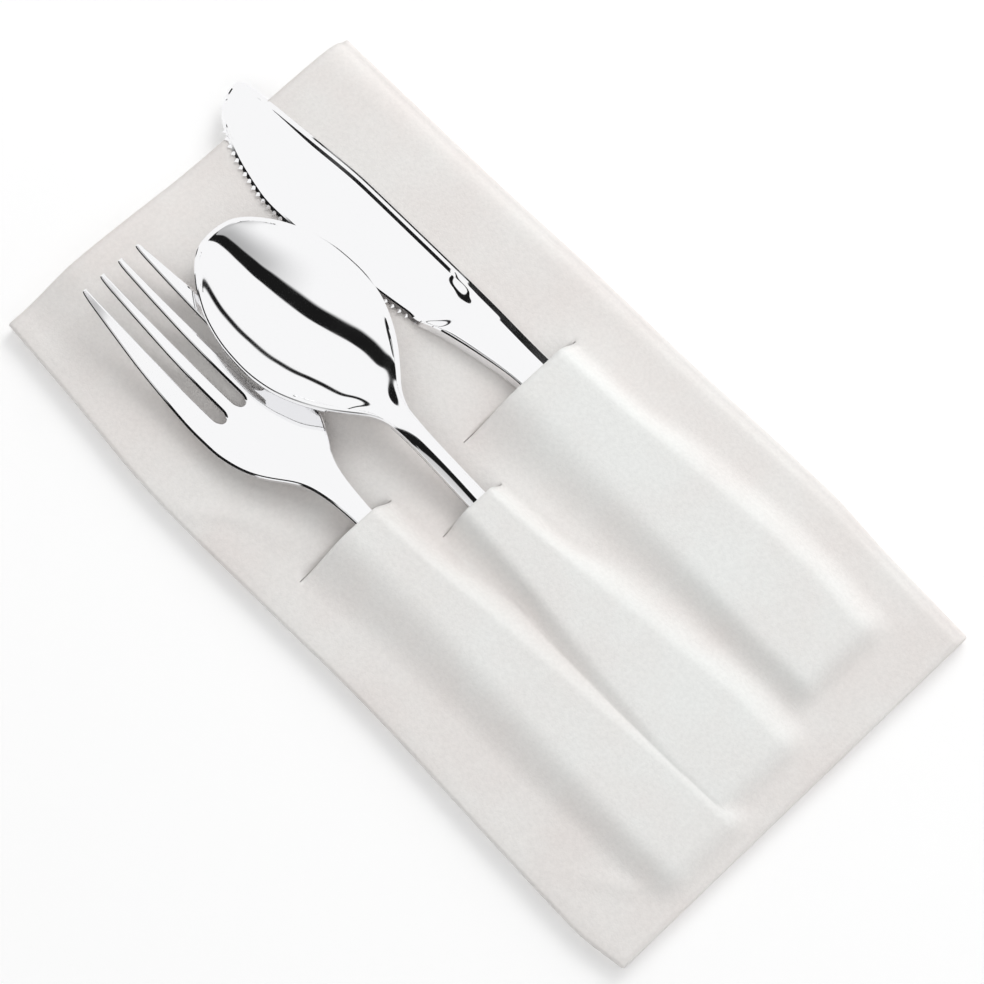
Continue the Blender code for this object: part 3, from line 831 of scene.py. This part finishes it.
@dataclass
class ToothRow:
    """Geometry Nodes that set a small wedge at every pitch along a line, pointing away from the blade."""

    CORNERS = 5  # of one tooth: four at its root and its point

    pitch: float = 2.0  # mm
    length: float = 0.8  # mm, half of one tooth along the edge
    thickness: float = 0.5  # mm, half of one tooth at its root
    reach: float = 1.05  # mm from root to point

    def tree(self) -> tuple[bpy.types.NodeTree, dict[str, str]]:
        """Builds the node tree.

        Returns:
            The tree, and the identifier of each named input's socket.
        """
        tree = bpy.data.node_groups.new("tooth_row", "GeometryNodeTree")
        tree.interface.new_socket("Geometry", in_out="INPUT", socket_type="NodeSocketGeometry")
        tree.interface.new_socket("Geometry", in_out="OUTPUT", socket_type="NodeSocketGeometry")
        sockets = {}
        for name in ("Pitch", "Half Length", "Half Thickness", "Reach"):
            sockets[name] = tree.interface.new_socket(
                name, in_out="INPUT", socket_type="NodeSocketFloat"
            ).identifier
        sockets["Plating"] = tree.interface.new_socket(
            "Plating", in_out="INPUT", socket_type="NodeSocketMaterial"
        ).identifier
        given = add_node(tree, "NodeGroupInput").outputs
        curve = add_node(tree, "GeometryNodeMeshToCurve", {"Mesh": given["Geometry"]})
        places = add_node(
            tree,
            "GeometryNodeResampleCurve",
            {"Curve": curve.outputs[0], "Length": given["Pitch"]},
            mode="LENGTH",
        )
        tangent = add_node(tree, "GeometryNodeInputTangent")
        outward = add_node(
            tree,
            "ShaderNodeVectorMath",
            {0: tangent.outputs[0], 1: (0.0, 0.0, 1.0)},
            operation="CROSS_PRODUCT",
        )
        point_out = add_node(
            tree,
            "FunctionNodeAlignRotationToVector",
            {"Vector": outward.outputs[0]},
            axis="Z",
            pivot_axis="AUTO",
        )
        along = add_node(
            tree,
            "FunctionNodeAlignRotationToVector",
            {"Rotation": point_out.outputs[0], "Vector": tangent.outputs[0]},
            axis="X",
            pivot_axis="Z",
        )
        wedge = add_node(
            tree,
            "GeometryNodeMeshCone",
            {"Vertices": self.CORNERS - 1, "Radius Top": 0.0, "Radius Bottom": 1.0, "Depth": given["Reach"]},
        )
        size = add_node(
            tree, "ShaderNodeCombineXYZ", {"X": given["Half Length"], "Y": given["Half Thickness"], "Z": 1.0}
        )
        row = add_node(
            tree,
            "GeometryNodeInstanceOnPoints",
            {
                "Points": places.outputs[0],
                "Instance": wedge.outputs["Mesh"],
                "Rotation": along.outputs[0],
                "Scale": size.outputs[0],
            },
        )
        solid = add_node(tree, "GeometryNodeRealizeInstances", {"Geometry": row.outputs[0]})
        plated = add_node(
            tree, "GeometryNodeSetMaterial", {"Geometry": solid.outputs[0], "Material": given["Plating"]}
        )
        add_node(tree, "NodeGroupOutput", {0: plated.outputs[0]})
        return tree, sockets

    def build(self, line: bpy.types.Mesh, plating: bpy.types.Material) -> bpy.types.Mesh:
        """Makes the teeth along a line of edges, and returns them as a plain mesh."""
        guide = bpy.data.objects.new("tooth_guide", line)
        bpy.context.scene.collection.objects.link(guide)
        tree, sockets = self.tree()
        nodes = guide.modifiers.new("Teeth", "NODES")
        nodes.node_group = tree
        nodes[sockets["Pitch"]] = self.pitch
        nodes[sockets["Half Length"]] = self.length
        nodes[sockets["Half Thickness"]] = self.thickness
        nodes[sockets["Reach"]] = self.reach
        nodes[sockets["Plating"]] = plating
        graph = bpy.context.evaluated_depsgraph_get()
        teeth = bpy.data.meshes.new_from_object(guide.evaluated_get(graph), depsgraph=graph)
        guide.modifiers.clear()
        bpy.data.objects.remove(guide)
        bpy.data.meshes.remove(line)
        return teeth


# ---------------------------------------------------------------- the napkin


class Run(Enum):
    """A part of the folded section: one of its four flat doubled plies, or a fold between two of them."""

    BOTTOM = 0
    LOWER = 1
    UPPER = 2
    TOP = 3
    WRAP = "wide fold on the right"
    LEFT_TURN = "fold on the left"
    RIGHT_TURN = "fold buried on the right"


@dataclass(frozen=True)
class Column:
    """One line along the sheet's length: where it crosses the folded section."""

    run: Run
    turn: float = 0.0  # radians round a fold
    x: float = 0.0  # mm
    key: tuple[int, float] | None = None  # (top run's key, share of the way to the next key)


@dataclass
class Pocketed:
    """A handle under the top ply: the slit it goes in by and the paper's fall beside it, in mm."""

    EDGE_MARGIN = 0.8
    FREE_BEYOND_END = 1.5
    SKIRT_BEYOND_END = 6.3

    lay: Lay
    half_width: Stations
    top: Callable[[float], float]
    slit_y: float
    slit_x: tuple[float, float]
    skirt_end_x: tuple[float, float]
    rows: dict = field(default_factory=dict)

    def at(self, y: float) -> tuple[float, float, float, float, float]:
        """(left side, right side, left skirt, right skirt, height of the handle's top) at y."""
        if y not in self.rows:
            held = min(max(y, self.lay.end[1] + 6), self.slit_y)
            half = through(self.half_width, self.lay.station(held)) + self.EDGE_MARGIN
            left, right = self.lay.axis_x(held) - half, self.lay.axis_x(held) + half
            share = min(max((self.slit_y - y) / (self.slit_y - self.lay.end[1]), 0.0), 1.0)
            station = self.lay.station(y)
            high_side = through(self.half_width, station) * math.sin(math.radians(self.lay.roll))
            self.rows[y] = (
                left,
                right,
                between(self.slit_x[0], self.skirt_end_x[0], share),
                between(self.slit_x[1], self.skirt_end_x[1], share),
                self.top(station) + high_side,
            )
        return self.rows[y]


@dataclass
class Napkin:
    """One square of airlaid paper, folded in eight to a long pocket with three slits in its top ply."""

    OVER_METAL = "over_metal"

    handles: Sequence[Pocketed]
    paper: AirlaidPaper = AirlaidPaper()
    ply: float = 0.35
    ply_pitch: float = 0.5
    half_width: float = 54.0
    open_y: float = 98.7
    closed_y: float = -108.1
    raw_inset: float = 0.8
    slit_gap: float = 0.25
    clearance: float = 0.3
    skirt_reach: float = 8.0  # the paper's fall beside a handle
    skirt_growth: float = 40.0  # from a slit to where the fall has its full reach
    curl_height: float = 3.0  # at the crest of the open end's curl
    curl_x: tuple[float, float, float] = (-50.0, -33.0, 14.0)  # its start, crest and end
    curl_y: tuple[float, float] = (62.0, 36.0)  # its start along the pack, and its run to full height
    bulge_left: Stations = (
        (-108, 0.6), (-94, 2.4), (-68, 2.1), (-27, 1.4), (9, 2.5), (42, 3.4), (75, 1.4), (99, 0),
    )
    bulge_right: Stations = ((-108, 0.8), (-80, 1.9), (-63, 3.0), (-14, 1.8), (14, 1.5), (48, 0.5), (99, 0))
    puff_height: Stations = ((-108, 0.0), (-60, 0.3), (0, 0.8), (60, 1.6), (99, 2.4))
    round_width: Stations = ((-108, 2.0), (-60, 3.0), (0, 4.0), (60, 6.0), (99, 8.0))
    wrinkle: Stations = ((6.4, -37.5), (14.6, -39.7), (25.4, -43.5), (33.5, -49.8), (37.8, -56.5))

    def __post_init__(self) -> None:
        """Works out the fold's radii and its lines of columns and rows."""
        self.offset = 0.5 * self.ply_pitch
        self.pair_pitch = 2 * self.ply_pitch
        self.wrap_radius = 1.5 * self.pair_pitch
        self.turn_radius = 0.5 * self.pair_pitch
        skin = self.offset + 0.5 * self.ply
        self.right_x = self.half_width - self.wrap_radius - skin
        self.left_x = -(self.half_width - self.turn_radius - skin)
        self.end_y = self.closed_y + skin
        self.slit_columns: list[tuple[int, int]] = []
        self.columns = self.make_columns()
        self.rows = self.make_rows()

    def level_z(self, level: float) -> float:
        """Height of a doubled ply's middle, counted from below."""
        return 0.5 * self.ply + self.offset + level * self.pair_pitch

    def make_columns(self) -> list[Column]:
        """The sheet's lines from its lower raw edge round to its upper one."""
        raw_x = -(self.half_width - self.raw_inset)
        columns = [Column(Run.BOTTOM, x=x) for x in steps(raw_x, self.right_x, 6)]
        columns += [Column(Run.WRAP, turn=angle) for angle in steps(-math.pi / 2, math.pi / 2, 12)[1:-1]]
        bands = [11] + [7, 12, 7, 5] * (len(self.handles) - 1) + [7, 10, 7, 12]
        for key, count in enumerate(bands):
            if key % 4 == 1:
                start = len(columns)
            columns += [Column(Run.TOP, key=(key, index / count)) for index in range(count)]
            if key % 4 == 3:
                self.slit_columns.append((start, len(columns)))
        columns.append(Column(Run.TOP, x=self.left_x))
        left_turn = steps(math.pi / 2, 3 * math.pi / 2, 8)[1:-1]
        columns += [Column(Run.LEFT_TURN, turn=angle) for angle in left_turn]
        columns += [Column(Run.UPPER, x=x) for x in steps(self.left_x, self.right_x, 6)]
        right_turn = steps(math.pi / 2, -math.pi / 2, 8)[1:-1]
        columns += [Column(Run.RIGHT_TURN, turn=angle) for angle in right_turn]
        return columns + [Column(Run.LOWER, x=x) for x in steps(self.right_x, raw_x, 6)]

    def make_rows(self) -> list[tuple[float, float]]:
        """(y, offset from the doubled ply's middle) down the outer ply, round the fold and back up."""
        outer = steps(self.open_y, 8.0, 46) + steps(2.0, self.closed_y + 1.5, 84)
        for handle in self.handles:
            lips = (handle.slit_y, handle.slit_y - self.slit_gap)
            outer = [y for y in outer if min(abs(y - lips[0]), abs(y - lips[1])) > 0.25]
            outer += lips
        outer.sort(reverse=True)
        self.slit_rows = [outer.index(handle.slit_y) for handle in self.handles]
        rows = [(y, self.offset) for y in outer]
        for angle in steps(0.0, math.pi, 8):
            rows.append((self.end_y - self.offset * math.sin(angle), self.offset * math.cos(angle)))
        return rows + [(y, -self.offset) for y in steps(self.closed_y + 6, self.open_y, 22)]

    def top_keys(self, y: float) -> list[float]:
        """The top run's keys from right to left: its ends, and each handle's skirts and sides."""
        keys = [self.right_x]
        for handle in self.handles:
            left, right, outer_left, outer_right, _ = handle.at(y)
            keys += [max(outer_right, right + 0.2), right, left, min(outer_left, left - 0.2)]
        return keys + [self.left_x]

    def section(self, column: Column, y: float, offset: float) -> tuple[float, float]:
        """(x, z) of a column at y, this far to the outside of the doubled ply's middle."""
        folds = {
            Run.WRAP: (self.wrap_radius + offset, self.right_x, 1.5),
            Run.LEFT_TURN: (self.turn_radius + offset, self.left_x, 2.5),
            Run.RIGHT_TURN: (self.turn_radius - offset, self.right_x, 1.5),
        }
        if column.run in folds:
            radius, x, level = folds[column.run]
            return x + radius * math.cos(column.turn), self.level_z(level) + radius * math.sin(column.turn)
        x = column.x
        if column.key:
            keys = self.top_keys(y)
            index, share = column.key
            x = between(keys[index], keys[index + 1], share)
        outward = 1 if column.run in (Run.TOP, Run.LOWER) else -1
        return x, self.level_z(column.run.value) + outward * offset

    def lift(self, handle: Pocketed, x: float, y: float, flat_z: float) -> tuple[float, float]:
        """(how far the top ply rises over a handle, how much of that handle it covers there)."""
        if y > handle.slit_y - 0.5 * self.slit_gap:
            return 0.0, 0.0
        left, right, outer_left, outer_right, top = handle.at(y)
        height = top + self.clearance + 0.75 * self.ply - flat_z
        beyond = ease(1 - (handle.lay.end[1] - handle.FREE_BEYOND_END - y) / handle.SKIRT_BEYOND_END)
        reach = self.skirt_reach * ease((handle.slit_y - y) / self.skirt_growth)
        if x < left:
            foot = min(outer_left, left - reach)
            side = ease((x - foot) / (left - foot))
        elif x > right:
            foot = max(outer_right, right + reach)
            side = ease((foot - x) / (foot - right))
        else:
            side = 1.0
        return height * beyond * side, beyond * side

    def puff(self, x: float, y: float, column: Column) -> float:
        """How much the stack swells towards its wide fold, whose shoulder is rounded off."""
        swell = through(self.puff_height, y)
        fall = swell + 0.5
        if column.run is Run.WRAP:
            return (swell - fall) * 0.5 * (1 + math.sin(column.turn))
        if column.run is Run.TOP:
            share = min((self.right_x - x) / through(self.round_width, y), 1.0)
            return swell * ease((x + 5) / 45) - fall * (1 - math.sqrt(1 - (1 - share) ** 2))
        return 0.0

    def wave(self, x: float, y: float) -> float:
        """The open end's curl, for the top of the stack: it rises steeply on the left and falls slowly."""
        start, crest, end = self.curl_x
        across = ease((x - start) / (crest - start)) if x < crest else ease((end - x) / (end - crest))
        return self.curl_height * across * ease((y - self.curl_y[0]) / self.curl_y[1])

    def creases(self, x: float, y: float) -> float:
        """The soft wrinkle from the left side to a slit, and the pinch beside the closed end's corner."""
        height = 0.0
        if 2 < y < 42:
            line = through(self.wrinkle, y)
            height += 0.55 * hump(x, line, 3.2) * hump(y, 26, 24)
        along = (x + 43) * 0.56 - (y + 91) * 0.83
        across = (x + 43) * 0.83 + (y + 91) * 0.56
        height += 0.4 * hump(across, 0.0, 3.0) * hump(along, 3, 14)
        swell = math.sin(x / 9.0 + 1.3 * math.sin(y / 23.0)) * math.sin(y / 17.0 + 0.7) + 1.0
        return height + 0.09 * swell

    def place(self, column_number: int, row_number: int) -> tuple[float, float, float]:
        """Where a point of the flat sheet lies once folded, in metres."""
        column = self.columns[column_number]
        y, offset = self.rows[row_number]
        x, z = self.section(column, y, offset)
        level = (z - self.level_z(0)) / (3 * self.pair_pitch)
        outer = offset == self.offset
        self.covered = 0.0
        if column.run is Run.TOP and outer:
            lifts = [self.lift(handle, x, y, z) for handle in self.handles]
            z += max(lift for lift, _ in lifts)
            self.covered = max(cover for _, cover in lifts)
            z += self.creases(x, y) * ease((x - self.left_x) / 2) * ease((self.right_x - x) / 2)
        z += self.puff(x, y, column)
        z += max(level, 0.0) * self.wave(x, y)
        bulge = through(self.bulge_left if x < 0 else self.bulge_right, y)
        return (x * (1 + bulge / self.half_width) * MM, y * MM, z * MM)

    def build(self) -> bpy.types.Object:
        """Folds the sheet and gives it its thickness."""
        covers = {}

        def place(column: int, row: int) -> tuple[float, float, float]:
            point = self.place(column, row)
            covers[Vector(point).freeze()] = self.covered
            return point

        def keeps(column: int, row: int) -> bool:
            return not any(
                row == slit_row and first <= column < past
                for (first, past), slit_row in zip(self.slit_columns, self.slit_rows)
            )

        work = grid_cage(len(self.columns), len(self.rows), place, keeps)
        over_metal = work.verts.layers.float.new(self.OVER_METAL)
        for vertex in work.verts:
            vertex[over_metal] = covers.get(vertex.co.copy().freeze(), 0.0)
        for face in work.faces:
            face.smooth = True
        mesh = bpy.data.meshes.new("napkin")
        work.to_mesh(mesh)
        work.free()
        napkin = new_piece("napkin_sheet", mesh, self.paper.material("airlaid_paper"))
        shell = napkin.modifiers.new("Ply", "SOLIDIFY")
        shell.thickness = self.ply * MM
        shell.offset = 0.0
        shell.use_even_offset = False
        return settled(napkin)

    @property
    def flat_size(self) -> tuple[float, float]:
        """The square the sheet was cut to, in metres."""
        around = 2 * (2 * self.half_width) + 2 * (2 * self.half_width)
        return around * MM, 2 * (self.open_y - self.closed_y) * MM


# ---------------------------------------------------------------- the studio


@dataclass
class Studio:
    """A pale floor, a soft key from the right and a white tent with dark cards for the mirrors to see."""

    azimuth: float = -43.46  # degrees
    elevation: float = 72.41
    distance: float = 0.6655  # m
    focal_length: float = 105.9  # mm on a 36 mm sensor
    target: tuple[float, float, float] = (-0.0002, -0.0092, 0.004)
    overhead_card: tuple[float, float] = (-0.04, 0.22)  # its two sides, across it, over z
    card_turn: float = 25.0  # degrees from the pack's x axis to straight across the overhead card
    low_card: tuple[float, float] = (0.39, 0.45)  # z of its lower and upper side
    tent: float = 1.0
    key_place: tuple[float, float, float] = (0.9, 0.25, 0.75)  # m
    key_size: float = 0.7  # m across
    key_power: float = 4.5  # W

    def build_camera(self) -> None:
        """Puts the camera at its angle and makes it the scene's."""
        turn, climb = math.radians(self.azimuth), math.radians(self.elevation)
        back = Vector((math.sin(turn) * math.cos(climb), -math.cos(turn) * math.cos(climb), math.sin(climb)))
        data = bpy.data.cameras.new("view")
        data.lens = self.focal_length
        data.sensor_width = 36.0
        data.clip_start = 0.01
        camera = bpy.data.objects.new("view", data)
        camera.location = Vector(self.target) + back * self.distance
        camera.rotation_euler = back.to_track_quat("Z", "Y").to_euler()
        bpy.context.scene.collection.objects.link(camera)
        bpy.context.scene.camera = camera

    def build_floor(self) -> None:
        """A plain pale floor just under the pack."""
        work = bmesh.new()
        bmesh.ops.create_grid(work, x_segments=1, y_segments=1, size=3.0)
        mesh = bpy.data.meshes.new("floor")
        work.to_mesh(mesh)
        work.free()
        material, tree, shader = new_material("matt_white_laminate")
        shader.inputs["Base Color"].default_value = srgb("FBFBFB")
        shader.inputs["Roughness"].default_value = 0.9
        shader.inputs["Specular IOR Level"].default_value = 0.0
        shader.inputs["Emission Color"].default_value = (1.0, 1.0, 1.0, 1.0)
        shader.inputs["Emission Strength"].default_value = 0.12
        floor = new_piece("floor", mesh, material)
        floor.location.z = -0.1 * MM

    def edge(
        self, tree: bpy.types.NodeTree, value: bpy.types.NodeSocket, at: float, soft: float
    ) -> bpy.types.NodeSocket:
        """A socket that rises smoothly from 0 to 1 as value passes a place."""
        return add_node(
            tree,
            "ShaderNodeMapRange",
            {"Value": value, "From Min": at - soft, "From Max": at + soft},
            interpolation_type="SMOOTHSTEP",
        ).outputs["Result"]

    def combine(
        self,
        tree: bpy.types.NodeTree,
        operation: str,
        first: bpy.types.NodeSocket | float,
        second: bpy.types.NodeSocket | float,
    ) -> bpy.types.NodeSocket:
        """The result socket of a Math node."""
        return add_node(tree, "ShaderNodeMath", {0: first, 1: second}, operation=operation).outputs[0]

    def build_tent(self) -> None:
        """White all round, with a black card overhead and a dark one low down."""
        world = bpy.data.worlds.new("tent")
        bpy.context.scene.world = world
        world.use_nodes = True
        tree = world.node_tree
        background = tree.nodes["Background"]
        direction = add_node(tree, "ShaderNodeTexCoord").outputs["Generated"]
        axes = add_node(tree, "ShaderNodeSeparateXYZ", {0: direction}).outputs
        height = self.combine(tree, "MAXIMUM", axes["Z"], 0.05)
        turn = math.radians(self.card_turn)
        from_x = self.combine(tree, "MULTIPLY", axes["X"], math.cos(turn))
        from_y = self.combine(tree, "MULTIPLY", axes["Y"], math.sin(turn))
        across = self.combine(tree, "DIVIDE", self.combine(tree, "ADD", from_x, from_y), height)
        towards_handles = self.combine(tree, "DIVIDE", axes["Y"], height)
        low, high = self.overhead_card
        far_side = self.edge(tree, across, high, 0.012)
        card = self.combine(tree, "SUBTRACT", self.edge(tree, across, low, 0.03), far_side)
        fall = self.combine(tree, "SUBTRACT", self.edge(tree, across, low - 0.3, 0.3), far_side)
        fall = self.combine(tree, "MULTIPLY", fall, 0.55)
        near = self.combine(tree, "SUBTRACT", 1.0, self.edge(tree, towards_handles, 0.0, 0.25))
        shade = self.combine(tree, "MULTIPLY", fall, near)
        above = self.edge(tree, axes["Z"], 0.5, 0.05)
        overhead = self.combine(tree, "MULTIPLY", self.combine(tree, "MAXIMUM", card, shade), above)
        low_z, high_z = self.low_card
        ring = self.combine(
            tree,
            "SUBTRACT",
            self.edge(tree, axes["Z"], low_z, 0.012),
            self.edge(tree, axes["Z"], high_z, 0.012),
        )
        near_side = self.combine(tree, "MULTIPLY", self.edge(tree, axes["X"], -0.3, 0.3), -1.0)
        near_side = self.combine(tree, "ADD", near_side, 1.0)
        near_band = self.combine(
            tree, "SUBTRACT", self.edge(tree, axes["Z"], 0.05, 0.02), self.edge(tree, axes["Z"], 0.42, 0.03)
        )
        near_card = self.combine(tree, "MULTIPLY", near_side, near_band)
        dark = self.combine(tree, "MAXIMUM", self.combine(tree, "MAXIMUM", overhead, ring), near_card)
        color = add_node(
            tree,
            "ShaderNodeMix",
            {"Factor": dark, "A": srgb("FFFFFF"), "B": srgb("1A1A1A")},
            data_type="RGBA",
        )
        tree.links.new(color.outputs["Result"], background.inputs["Color"])
        background.inputs["Strength"].default_value = self.tent

    def build_key(self) -> None:
        """A soft box on the right, which shapes the paper but isn't seen in the mirrors."""
        light = bpy.data.lights.new("key", "AREA")
        light.shape = "DISK"
        light.size = self.key_size
        light.energy = self.key_power
        key = bpy.data.objects.new("key", light)
        key.location = self.key_place
        key.rotation_euler = key.location.to_track_quat("Z", "Y").to_euler()
        key.visible_glossy = False
        bpy.context.scene.collection.objects.link(key)

    def build(self) -> None:
        """Sets up everything round the pack."""
        self.build_camera()
        self.build_floor()
        self.build_tent()
        self.build_key()
        bpy.context.scene.view_settings.view_transform = "Standard"


# ---------------------------------------------------------------- the pack


@dataclass
class CutleryPack:
    """The whole place setting: three mouldings in their napkin."""

    fork: Fork = field(default_factory=Fork)
    spoon: Spoon = field(default_factory=Spoon)
    knife: Knife = field(default_factory=Knife)

    def napkin(self) -> Napkin:
        """The napkin, told how high each handle stands under its top ply."""
        fork, spoon, knife = self.fork, self.spoon, self.knife

        def fork_top(station: float) -> float:
            return fork.lay.bed + through(fork.bottom, station) + through(fork.thickness, station)

        def spoon_top(station: float) -> float:
            return spoon.lay.bed + through(spoon.rim, station) + through(spoon.thickness, station)

        def knife_top(station: float) -> float:
            return knife.lay.bed + through(knife.bottom, station) + 3.1

        return Napkin(
            handles=(
                Pocketed(knife.lay, knife.spine_side, knife_top, 4.1, (3.2, 38.0), (15.0, 42.0)),
                Pocketed(spoon.lay, spoon.half_width, spoon_top, -9.2, (-15.2, 2.6), (-14.2, 9.5)),
                Pocketed(fork.lay, fork.half_width, fork_top, 5.4, (-44.7, -17.6), (-38.0, -15.2)),
            )
        )

    def build(self) -> None:
        """Makes every piece and ties it to the frame."""
        napkin = self.napkin()
        pieces = {moulding.lay.node: moulding.build() for moulding in (self.fork, self.spoon, self.knife)}
        pieces["napkin"] = napkin.build()
        for node, piece in pieces.items():
            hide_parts(node)
            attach(piece, "root")
            low, high = (corner / MM for corner in box_of(piece.data))
            faces = len(piece.data.polygons)
            report.info("%s: %d faces, %.1f x %.1f x %.1f mm", piece.name, faces, *(high - low))
        napkin.flat_size


def main() -> None:
    """Builds the studio and the pack, and notes each piece's faces and size."""
    Studio().build()
    CutleryPack().build()


if __name__ == "__main__":
    main()
